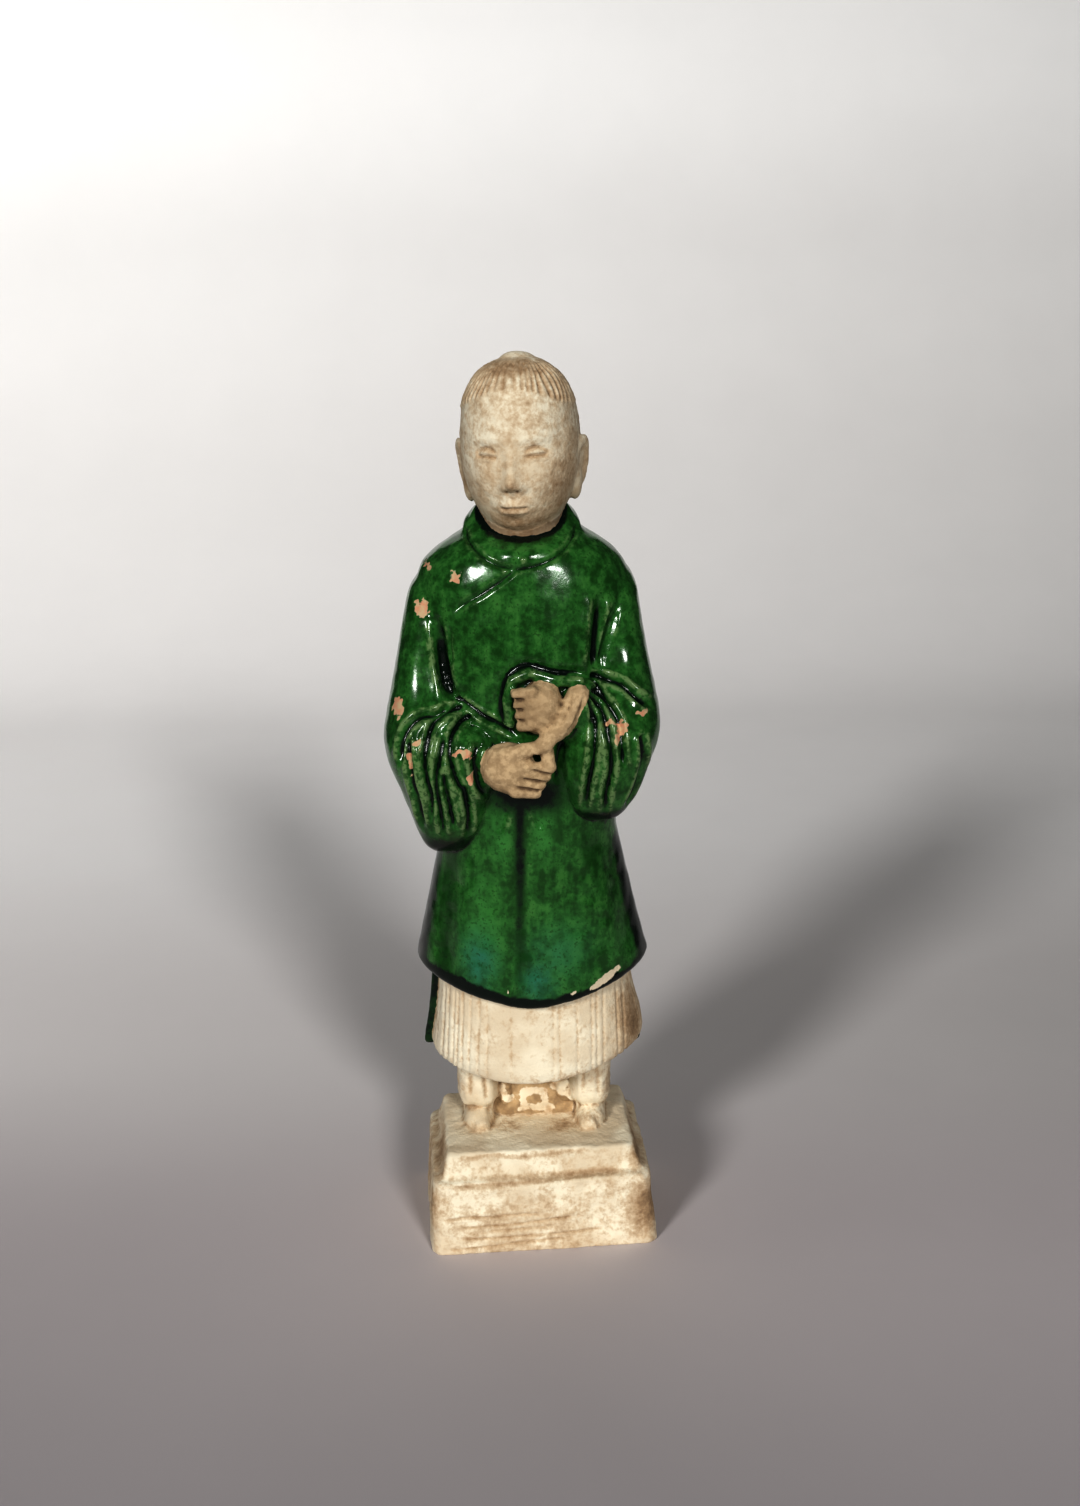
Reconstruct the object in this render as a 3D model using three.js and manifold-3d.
// Glazed terracotta tomb attendant, standing on a stepped plinth and moulded with it in one piece.
// Millimetres, +Z up, facing -Y. The origin is on the plinth's underside, below the middle of the figure.
import * as THREE from "three";
import { mergeVertices } from "three/addons/utils/BufferGeometryUtils.js";
import Module from "manifold-3d";

const wasm = await Module();
wasm.setup();

// Driving dimensions
const PLINTH = { x: -0.9, width: 57.4, depth: 43.2, ledge: 19.4, top: 25.6, corner: 3.2, turn: 4 };
const AXIS_Y = 3.6; // the body stands a little behind the middle of the plinth
const SKIRT_HEM = 43.6;
const ROBE_HEM = 65;
const BACK_PANEL_HEM = 45.6;
const NECK = { radius: 9, bottom: 165, top: 192 };
const COLLAR = {
  x: -1.2,
  y: 2.4,
  z: 180.6,
  rise: 5, // from its middle to the nape, and from the throat to its middle
  halfWidth: 12.6,
  halfDepth: 12.2,
  halfBand: 1.9,
  halfThickness: 1.4,
  lean: 0.7, // how far its upper edge leans in
};
const HEAD = {
  x: -1.1,
  y: 2.6,
  z: 198.4,
  halfWidth: 13.8,
  halfDepth: 14.6,
  above: 20.4, // from its middle to the crown
  below: 20.2, // from its middle to under the chin
  jutting: 2.6, // how far the chin lies before the middle
  fullness: 2.5, // 2 would be an egg, more is squarer
  frontShare: 0.42, // how much closer together its facets lie in front
  hairline: 10.6, // above its middle, over the brow
  turn: -9, // degrees
  lean: -1.6,
};
const BUN = { radius: 3.9, height: 2.6, z: 217.4 };
const FAR_EAR_IN = 0.9; // how far the turned head's far ear is pressed in
const NEAR_EAR_OUT = 0.2;
const FINGER = 1.5; // radius
const PLEATS = 22;
const HAIR_LOCKS = 18;
const LOCK_HEIGHT = 0.45;
const LOCK_GROOVE = 0.4;

// Widths and depths of the forms from top to bottom: [height, left, right, front, back]
const TORSO = [
  [185.4, -11.4, 9.2, 3, 14.4],
  [182, -13.6, 11.4, -2, 15.4],
  [179, -15.2, 13, -6.4, 15.9],
  [176.4, -19.4, 17.4, -9.4, 16.3],
  [172.5, -24.3, 21.8, -11.4, 16.8],
  [167, -26.6, 24.2, -12.8, 17.6],
  [159, -27, 24.6, -14.4, 18],
  [149, -25, 22.4, -15.6, 17.8],
  [138, -23.4, 21, -16.2, 17.6],
  [120, -22.8, 20.6, -15.8, 17.6],
  [106, -22.9, 20.3, -15.6, 17.8],
  [96, -24.3, 22, -16, 18.2],
  [86, -26.3, 24, -16.8, 18.8],
  [76, -28.3, 26, -17.8, 19.6],
  [68.5, -29.7, 27.6, -18.8, 20.2],
  [ROBE_HEM, -30, 28, -18.8, 20.2],
];
const RIGHT_SLEEVE = [
  [171, -24, -13, -3, 12],
  [166, -27.9, -14, -5.4, 13.6],
  [159, -29.8, -15.4, -8, 14.8],
  [150, -31.7, -16.4, -10, 15.6],
  [143, -33.1, -15.6, -12.6, 15.8],
  [137.5, -34.3, -12, -16, 15.6],
  [132, -35.2, -9.6, -18.8, 15],
  [126.5, -34.4, -8.8, -20, 14],
  [120, -31.9, -8.8, -19.6, 12.2],
  [114, -29.8, -9.6, -18, 10.2],
  [109, -28.2, -11.6, -15.6, 7.6],
  [105, -26.6, -14.4, -12.6, 3.6],
  [103, -24.4, -17.4, -9.6, -2],
];
const LEFT_SLEEVE = [
  [171, 11, 22.4, -3, 12],
  [166, 12, 25.4, -5.4, 13.6],
  [159, 13, 26.6, -8, 14.8],
  [150, 13.2, 28.1, -10, 15.6],
  [145.5, 11.4, 29, -12.8, 15.8],
  [141, 8.4, 29.9, -16.6, 15.8],
  [135.5, 6.6, 30.8, -19.6, 15.4],
  [130, 6, 30.2, -21, 14.8],
  [124.5, 6, 27.8, -20.6, 13.4],
  [119.5, 6.6, 25.9, -19.2, 11.6],
  [115, 8, 23.8, -17, 8.6],
  [112, 10.4, 21.2, -14, 4],
  [110.8, 13, 18, -11, -1],
];
const SKIRT = [
  [71, -24.2, 22.6, -14.2, 16.4],
  [62, -25, 24.4, -14.9, 17.4],
  [54, -26, 26.2, -15.8, 18.2],
  [47, -27, 26.8, -16.6, 18.8],
  [SKIRT_HEM, -26.8, 26.4, -16.4, 18.6],
];
const BACK_PANEL = [
  [76, -26.2, 23, 2, 18.8],
  [66, -26.6, 24, 2.4, 19.5],
  [54, -28, 25, 3.4, 20.1],
  [BACK_PANEL_HEM, -29.2, 25, 4, 19.9],
];
// Creases of the robe and the sleeves, each led down the front through [height, across] points.
const CENTRE_CREASE = [[150, -1.2], [118, -2.6], [98, -3.3], [84, -4.2], [66, -4.6]];
const RIGHT_SLEEVE_CREASES = [
  [[142, -21], [139, -24.4], [136.4, -27.2], [131, -29], [124, -29.2], [115, -27.8], [106, -25.6]],
  [[142, -20], [136.6, -23.8], [130, -26], [122, -26.4], [112, -25.2], [106, -23.8]],
  [[142, -18.8], [138.4, -20.6], [132, -23], [124, -23.8], [114, -23], [107, -21.8]],
  [[142, -17.8], [138.6, -17.4], [133, -19.8], [125.4, -20.2], [117, -19.4], [108, -19]],
  [[142, -16.8], [137.8, -14.4], [134.4, -16], [130, -16.8], [124.6, -15.6], [119, -14], [110, -14.6]],
];
const LEFT_SLEEVE_CREASES = [
  [[144, 12.4], [137.5, 10.8], [132.5, 9.2], [126, 8.6], [118, 9.4]],
  [[144, 13.6], [134, 14], [125, 13.2], [115.5, 12.8]],
  [[144, 15], [136, 17.4], [128, 18], [115, 16.6]],
  [[144, 16.6], [140.6, 18.8], [136.5, 21], [128, 22.2], [114, 19.4]],
  [[144, 18.4], [140, 23], [136, 25.6], [129, 26.4], [121, 24.8], [114, 21.8]],
];
const CREASE_TOP = 146;
const CREASE_FADE = 9; // height over which a crease deepens below its top
const CREASE_GAP = 0.04; // least share of the half width between two creases, or between one and the side

const angleOf = (p) => Math.atan2(p.y, p.x);
const bump = (distance, width) => Math.exp(-((distance / width) ** 2));
const clamp01 = (value) => Math.min(1, Math.max(0, value));
const clamp11 = (value) => Math.min(1, Math.max(-1, value));

// A smooth value of every column of a table of sections at one height.
function sectionAt(rows, height) {
  const last = rows.length - 1;
  let lower = rows.findIndex((row) => height >= row[0] - 1e-9);
  if (lower < 0) lower = last;
  if (lower === 0) lower = 1;
  const [a, b] = [rows[lower - 1], rows[lower]];
  const [before, after] = [rows[Math.max(0, lower - 2)], rows[Math.min(last, lower + 1)]];
  const t = clamp01((height - a[0]) / (b[0] - a[0]));
  const slope = (p, q, column) => (q[column] - p[column]) / (q[0] - p[0]);
  return a.map((value, column) => {
    const run = b[0] - a[0];
    const [start, end] = [slope(before, b, column) * run, slope(a, after, column) * run];
    const rise = b[column] - value;
    return value + t * start + t * t * (3 * rise - 2 * start - end) + t * t * t * (start + end - 2 * rise);
  });
}

// Where a line of [height, across] points, given from the top down, is at one height.
function valueAt(line, height) {
  const i = line.findIndex((point) => height >= point[0]);
  if (i === 0) return line[0][1];
  if (i < 0) return line[line.length - 1][1];
  const [[aboveZ, aboveX], [belowZ, belowX]] = [line[i - 1], line[i]];
  return aboveX + ((height - aboveZ) / (belowZ - aboveZ)) * (belowX - aboveX);
}

// Moves every vertex of a three.js geometry and joins the copies at its seams.
function shaped(geometry, place) {
  const position = geometry.getAttribute("position");
  const point = new THREE.Vector3();
  for (let i = 0; i < position.count; i++) {
    point.fromBufferAttribute(position, i);
    place(point);
    position.setXYZ(i, point.x, point.y, point.z);
  }
  geometry.deleteAttribute("normal");
  geometry.deleteAttribute("uv");
  return mergeVertices(geometry, 1e-3);
}

// Pushes the surface in or out along its normals, as a tool does in leather-hard clay.
function carved(geometry, height) {
  geometry.computeVertexNormals();
  const [position, normal] = [geometry.getAttribute("position"), geometry.getAttribute("normal").clone()];
  geometry.deleteAttribute("normal");
  const [point, out] = [new THREE.Vector3(), new THREE.Vector3()];
  for (let i = 0; i < position.count; i++) {
    point.fromBufferAttribute(position, i);
    out.fromBufferAttribute(normal, i);
    point.addScaledVector(out, height(point, out));
    position.setXYZ(i, point.x, point.y, point.z);
  }
  return geometry;
}

const upright = (geometry) => geometry.rotateX(Math.PI / 2);
const barrel = (around, up) => upright(new THREE.CylinderGeometry(1, 1, 1, around, up));
const ball = (around, up) => upright(new THREE.SphereGeometry(1, around, up));

// A closed form lofted through a table of sections. A front share sets its facets closer together in front, a
// crowding over 1 sets its rows closer together towards the top, a lift raises its hem at both sides, and a
// positive tilt raises the hem towards +x and lowers it towards -x. A hem square below 2 draws the sides of
// the hem out towards the seams of the mould.
// Each crease leads a column of vertices down the front, and presses it into the form by the depth.
function lofted(rows, around, up, options) {
  const { square = 2.3, axisY = null, frontShare = 0, crowding = 1, lift = 0 } = options;
  const { creases = [], depth = 0, hemSquare = square, liftPower = 2, tilt = 0 } = options;
  const lastStop = creases.length + 1;
  const [top, bottom] = [rows[0][0], rows[rows.length - 1][0]];
  const rounded = (value, power) => Math.sign(value) * Math.abs(value) ** power;
  return shaped(barrel(around, up), (p) => {
    const height = top - (top - bottom) * Math.max(0, 0.5 - p.z) ** crowding;
    const [, left, right, front, back] = sectionAt(rows, height);
    const [centre, half, middle] = [(left + right) / 2, (right - left) / 2, axisY ?? (front + back) / 2];
    const lowness = (top - height) / (top - bottom);
    const power = square + (hemSquare - square) * lowness ** 3;
    const turn = angleOf(p);
    const radius = Math.min(1, Math.hypot(p.x, p.y));
    let spread = turn - frontShare * Math.cos(turn);
    let press = 0;
    if (creases.length && turn < 0) {
      const across = creases.map((line, i) => {
        const [low, high] = [CREASE_GAP * (i + 1) - 1, 1 - CREASE_GAP * (creases.length - i)];
        return Math.min(high, Math.max(low, (valueAt(line, height) - centre) / half));
      });
      const stops = [-Math.PI, ...across.map((value) => -Math.acos(rounded(value, power / 2))), 0];
      const place = ((turn + Math.PI) / Math.PI) * lastStop;
      const before = Math.min(lastStop - 1, Math.floor(place + 1e-6));
      const led = stops[before] + (stops[before + 1] - stops[before]) * (place - before);
      const folded = clamp01((CREASE_TOP - height) / CREASE_FADE);
      const stop = Math.round(place);
      const onCrease = Math.abs(place - stop) < 1e-3 && stop > 0 && stop < lastStop;
      spread += folded * (led - spread);
      press = onCrease ? folded * depth : 0;
    }
    const [c, s] = [Math.cos(spread), Math.sin(spread)];
    const x = centre + radius * rounded(c, 2 / power) * (half - press);
    const y = middle + radius * rounded(s, 2 / power) * ((s < 0 ? middle - front : back - middle) - press);
    const aside = (x - centre) / half;
    p.set(x, y, height + lowness ** 4 * (lift * Math.abs(aside) ** liftPower + tilt * aside));
  });
}

// A rounded ball stretched to three half sizes, then turned and set at its centre.
function pebble(centre, half, around, up, turns = [0, 0, 0]) {
  const g = ball(around, up).scale(...half);
  g.rotateX(THREE.MathUtils.degToRad(turns[0]));
  g.rotateY(THREE.MathUtils.degToRad(turns[1]));
  g.rotateZ(THREE.MathUtils.degToRad(turns[2]));
  return shaped(g.translate(...centre), () => {});
}

// A round rod between two points, with domed ends: a finger, a wrist or a stretch of a cuff.
function rod(from, to, radius, around) {
  const [a, b] = [new THREE.Vector3(...from), new THREE.Vector3(...to)];
  const g = new THREE.CapsuleGeometry(radius, a.distanceTo(b), 2, around);
  const along = b.clone().sub(a).normalize();
  g.applyQuaternion(new THREE.Quaternion().setFromUnitVectors(new THREE.Vector3(0, 1, 0), along));
  g.translate(...a.add(b).multiplyScalar(0.5).toArray());
  return shaped(g, () => {});
}

const solidOf = (geometry) =>
  new wasm.Manifold(
    new wasm.Mesh({
      numProp: 3,
      vertProperties: geometry.getAttribute("position").array,
      triVerts: new Uint32Array(geometry.index.array),
    }),
  );

// The plinth: a block with a ledge, a battered upper step, and two scored lines round its front.
function plinth() {
  const profile = [
    [0, 0.9],
    [0.9, 0],
    [4.4, 0],
    [5, 0.6],
    [9, 0.4],
    [9.6, 1.1],
    [PLINTH.ledge - 1, 1.4],
    [PLINTH.ledge, 2.2],
    [PLINTH.ledge + 0.2, 3],
    [PLINTH.top - 0.9, 4.7],
    [PLINTH.top, 5.7],
  ];
  const [around, up] = [32, profile.length - 1];
  return shaped(barrel(around, up), (p) => {
    const [height, inset] = profile[Math.round((p.z + 0.5) * up)];
    const radius = Math.min(1, Math.hypot(p.x, p.y));
    const turn = (angleOf(p) / (2 * Math.PI) + 1) % 1;
    const quarter = Math.floor(turn * 4 + 1e-6);
    const share = turn * 4 - quarter;
    const [halfX, halfY] = [PLINTH.width / 2 - inset, PLINTH.depth / 2 - inset];
    const [signX, signY] = [[1, 1], [-1, 1], [-1, -1], [1, -1]][quarter % 4];
    // Each quarter of the outline is a straight half side, a round corner and another half side.
    const along = quarter % 2 ? 1 - share : share;
    const [cornerX, cornerY] = [halfX - PLINTH.corner, halfY - PLINTH.corner];
    const arc = clamp01((along - 0.25) / 0.5) * (Math.PI / 2);
    let x = cornerX + PLINTH.corner * Math.cos(arc);
    let y = cornerY + PLINTH.corner * Math.sin(arc);
    if (along < 0.25) y = (cornerY * along) / 0.25;
    if (along > 0.75) x = (cornerX * (1 - along)) / 0.25;
    p.set(radius * signX * x, radius * signY * y, height);
    p.applyAxisAngle(new THREE.Vector3(0, 0, 1), THREE.MathUtils.degToRad(PLINTH.turn));
    p.x += PLINTH.x;
  });
}

// Trouser legs and shoes peep out below the skirt, with a web of clay left behind and between them.
function legs() {
  const [floor, kneeZ] = [PLINTH.top - 0.6, SKIRT_HEM + 4];
  const leg = (x, lean) =>
    lofted(
      [
        [kneeZ, x + lean - 5.6, x + lean + 5.6, -4, 12],
        [36, x - 5.3, x + 5.3, -3, 11.5],
        [30.5, x - 5, x + 5, -2, 11],
        [29.4, x - 4.2, x + 4.2, -1.2, 10.4],
        [floor, x - 4.2, x + 4.2, -1.2, 10.4],
      ],
      16,
      5,
      { square: 2.6 },
    );
  const shoe = (x, toeX) =>
    shaped(ball(12, 7), (p) => {
      const toe = clamp01(-p.y);
      const [halfWidth, halfHeight] = [3.9 - 1.8 * toe, 3.2 - toe];
      p.set(x + p.x * halfWidth + (toeX - x) * toe, 0.5 + p.y * 8, PLINTH.top + 0.8 + p.z * halfHeight);
    });
  const web = lofted(
    [
      [SKIRT_HEM + 3, -13, 10, 3, 14],
      [floor, -15, 12, 2, 15],
    ],
    12,
    2,
    { square: 4 },
  );
  return [leg(-15.8, 0.6), leg(13, 0.4), shoe(-15.6, -15.1), shoe(13, 12.4), web];
}

// Pleats run down the skirt, all the way round.
function skirt() {
  const form = lofted(SKIRT, PLEATS * 4, 2, { axisY: AXIS_Y, lift: 4, tilt: 1.7 });
  return carved(form, (p, out) => {
    if (Math.abs(out.z) > 0.8) return 0;
    const turn = Math.atan2(p.y - AXIS_Y, (p.x + 1) * 0.7);
    const ridge = Math.abs(Math.sin((turn * PLEATS) / 2));
    return -0.55 * (1 - ridge) ** 2;
  });
}

function backPanel() {
  return lofted(BACK_PANEL, 24, 2, { axisY: AXIS_Y, frontShare: -0.3 });
}

function robe() {
  const form = lofted(TORSO, 32, 16, {
    axisY: AXIS_Y,
    crowding: 1.5,
    lift: 5.5,
    liftPower: 1.5,
    hemSquare: 1.8,
    creases: [CENTRE_CREASE],
    depth: 1.6,
  });
  return carved(form, (p, out) => {
    const lower = clamp01((118 - p.z) / 40);
    const turn = Math.atan2(p.y - AXIS_Y, (p.x + 1) * 0.68);
    const sway = 0.3 * Math.cos(turn * 9);
    return Math.abs(out.z) < 0.8 ? lower * sway : 0;
  });
}

function sleeve(rows, creases) {
  return lofted(rows, 36, 14, { square: 2.7, crowding: 1.2, creases, depth: 2 });
}

// The standing collar is a flat band laid round the neck, low in front and high at the nape.
function collar() {
  const ring = new THREE.TorusGeometry(1, 0.5, 5, 28);
  return shaped(ring, (p) => {
    const turn = angleOf(p);
    const [outward, above] = [(Math.hypot(p.x, p.y) - 1) / 0.5, p.z / 0.5];
    const reach = outward * COLLAR.halfThickness - above * COLLAR.lean;
    p.x = COLLAR.x + Math.cos(turn) * (COLLAR.halfWidth + reach);
    p.y = COLLAR.y + Math.sin(turn) * (COLLAR.halfDepth + reach);
    p.z = COLLAR.z + COLLAR.rise * Math.sin(turn) + above * COLLAR.halfBand;
  });
}

// The head: one rounded form, with the face modelled by soft rises and hollows in the head's own frame.
function head() {
  // Each rise or hollow: its middle, its half width and half height, and how far it stands out.
  const features = [
    { at: [0, -3.6], reach: [1.5, 4], rise: 1.1 }, // bridge of the nose
    { at: [0, -6.6], reach: [2.3, 1.7], rise: 1.7 }, // tip of the nose
    { at: [-5.2, -1], reach: [3.4, 2.1], rise: -1.1 }, // eye sockets
    { at: [5.2, -1], reach: [3.4, 2.1], rise: -1.1 },
    { at: [-5.2, -1.2], reach: [2.4, 1.1], rise: 0.7 }, // eyelids
    { at: [5.2, -1.2], reach: [2.4, 1.1], rise: 0.7 },
    { at: [-5.4, 2.4], reach: [3.8, 1.2], rise: 0.4 }, // brows
    { at: [5.4, 2.4], reach: [3.8, 1.2], rise: 0.4 },
    { at: [0, -11.1], reach: [3.2, 1.7], rise: 1.3 }, // lips
    { at: [0, -16.4], reach: [3.8, 2], rise: 1.5 }, // chin
    { at: [-7.6, -7.2], reach: [3.4, 3.6], rise: 0.5 }, // cheeks
    { at: [7.6, -7.2], reach: [3.4, 3.6], rise: 0.5 },
  ];
  const isHair = (p) => p.z > HEAD.hairline - 0.026 * p.x * p.x || p.y > 3.4 + 0.3 * Math.max(0, -p.z);
  // Heights run from -1 to 1. The rows of vertices lie closer together over the face, just below the middle.
  const wave = (height) => Math.sin(2 * Math.PI * (height + 0.45)) / (2 * Math.PI);
  const crowded = (height) => clamp11(height - 0.45 * (wave(height) - wave(0)));
  const skull = shaped(ball(HAIR_LOCKS * 2, 20), (p) => {
    const turn = angleOf(p);
    const column = Math.round((turn / Math.PI) * HAIR_LOCKS);
    const spread = turn - HEAD.frontShare * Math.cos(turn);
    const height = crowded(p.z);
    const low = Math.min(0, height) ** 2;
    const radius = (1 - Math.abs(height) ** HEAD.fullness) ** (1 / HEAD.fullness) * (1 - 0.22 * low);
    const [x, y] = [Math.cos(spread) * radius, Math.sin(spread) * radius];
    const z = height * (height < 0 ? HEAD.below : HEAD.above);
    p.set(x * HEAD.halfWidth, y * HEAD.halfDepth - HEAD.jutting * low, z);
    // Hair stands proud of the brow and is combed up to the topknot in locks.
    if (!isHair(p) || height < -0.68) return;
    const proud = LOCK_HEIGHT - (column % 2 ? LOCK_GROOVE * clamp01((z + 2) / 8) : 0);
    p.set(p.x + x * proud, p.y + y * proud, z);
  });
  carved(skull, (p, out) => {
    const front = clamp01((-out.y - 0.15) * 1.6);
    const rises = features.map(({ at, reach, rise }) => {
      return rise * bump((p.x - at[0]) / reach[0], 1) * bump((p.z - at[1]) / reach[1], 1);
    });
    return front * rises.reduce((sum, rise) => sum + rise);
  });
  const ears = [-1, 1].map((side) => {
    const middle = [side * HEAD.halfWidth + (side < 0 ? FAR_EAR_IN : NEAR_EAR_OUT), 1.4, -4.2];
    return pebble(middle, [1.6, 2.9, 6.6], 10, 6, [-8, side * 6, side * 24]);
  });
  // Each ear's lobe runs into the jaw.
  const lobes = [-1, 1].map((side) => {
    return pebble([side * (HEAD.halfWidth - 1.6), 0.6, -9.2], [1.8, 2.4, 5], 8, 5);
  });
  const bun = pebble([0, 1.6, BUN.z - HEAD.z], [BUN.radius, BUN.radius, BUN.height], 14, 7);
  return [skull, ...ears, ...lobes, bun].map((g) => {
    g.rotateY(THREE.MathUtils.degToRad(HEAD.lean)).rotateZ(THREE.MathUtils.degToRad(HEAD.turn));
    return g.translate(HEAD.x, HEAD.y, HEAD.z);
  });
}

const neck = () =>
  lofted(
    [
      [NECK.top, -NECK.radius - 0.8, NECK.radius - 0.8, -6.5, 12.5],
      [NECK.bottom, -NECK.radius - 1.6, NECK.radius - 0.6, -6.5, 13],
    ],
    20,
    2,
    {},
  );

// A row of fingers side by side: each runs from its own knuckle to its tip, and sits half in the hand.
function fingers(knuckle, tip, knuckleStep, tipStep) {
  const stepped = (from, step, i) => from.map((value, axis) => value + i * step[axis]);
  return [0, 1, 2, 3].map((i) => rod(stepped(knuckle, knuckleStep, i), stepped(tip, tipStep, i), FINGER, 6));
}

// The raised hand shows its back, with four fingertips to one side, inside the rim of its cuff.
function raisedHand() {
  const palm = pebble([2.2, -17.6, 141.2], [5.2, 5, 6.5], 12, 8, [0, 16, 0]);
  const rim = [[-4.6, 143], [-4, 148.4], [0.6, 150.2], [7.6, 146.6]];
  const cuff = rim.slice(1).map(([x, z], i) => rod([rim[i][0], -16.6, rim[i][1]], [x, -16.6, z], 1.5, 6));
  const sleeveMouth = pebble([10.4, -14, 138.6], [5, 5.6, 8.6], 12, 7, [0, 24, 0]);
  const wrist = rod([5.6, -19.8, 135.4], [11.6, -16, 142.8], 3, 8);
  const tips = fingers([0.4, -20.7, 145.6], [-3.4, -19.6, 145], [-0.1, 0, -2.5], [0.5, 0, -2.6]);
  return [palm, ...cuff, sleeveMouth, wrist, ...tips];
}

// The lower hand is curled round the shaft that it once held, and its thumb reaches to the other wrist.
function lowerHand() {
  const cuff = pebble([-14.6, -14.4, 125.6], [6, 6, 8.8], 12, 7, [0, -8, 0]);
  const palm = pebble([-5.2, -19.4, 127], [6.2, 4, 5.6], 12, 8, [0, 12, 0]);
  const thumb = rod([-5.4, -21.2, 130.8], [4.2, -21.6, 133.4], 1.8, 8);
  const knuckle = rod([4, -20.2, 131.4], [4, -21, 127.8], 1.6, 6);
  const curled = fingers([-3.4, -21.8, 128.2], [3.4, -20.8, 126.8], [-0.3, 0, -2.2], [-1, 0.1, -1.9]);
  return [cuff, palm, thumb, knuckle, ...curled];
}

const forms = [
  plinth(),
  ...legs(),
  skirt(),
  backPanel(),
  robe(),
  sleeve(RIGHT_SLEEVE, RIGHT_SLEEVE_CREASES),
  sleeve(LEFT_SLEEVE, LEFT_SLEEVE_CREASES),
  collar(),
  neck(),
  ...head(),
  ...raisedHand(),
  ...lowerHand(),
];
const moulded = forms.map(solidOf).reduce((whole, form) => whole.add(form));

const { vertProperties, triVerts } = moulded.getMesh();
const clay = new THREE.BufferGeometry()
  .setAttribute("position", new THREE.BufferAttribute(vertProperties, 3))
  .setIndex(new THREE.BufferAttribute(triVerts, 1));
clay.computeVertexNormals();

const glazedTerracotta = new THREE.MeshStandardMaterial({ color: 0x1f5a2a, roughness: 0.25, metalness: 0 });
const figure = new THREE.Mesh(clay, glazedTerracotta);
figure.name = "tomb_figure";

const part = new THREE.Group();
part.add(figure);
export default part;
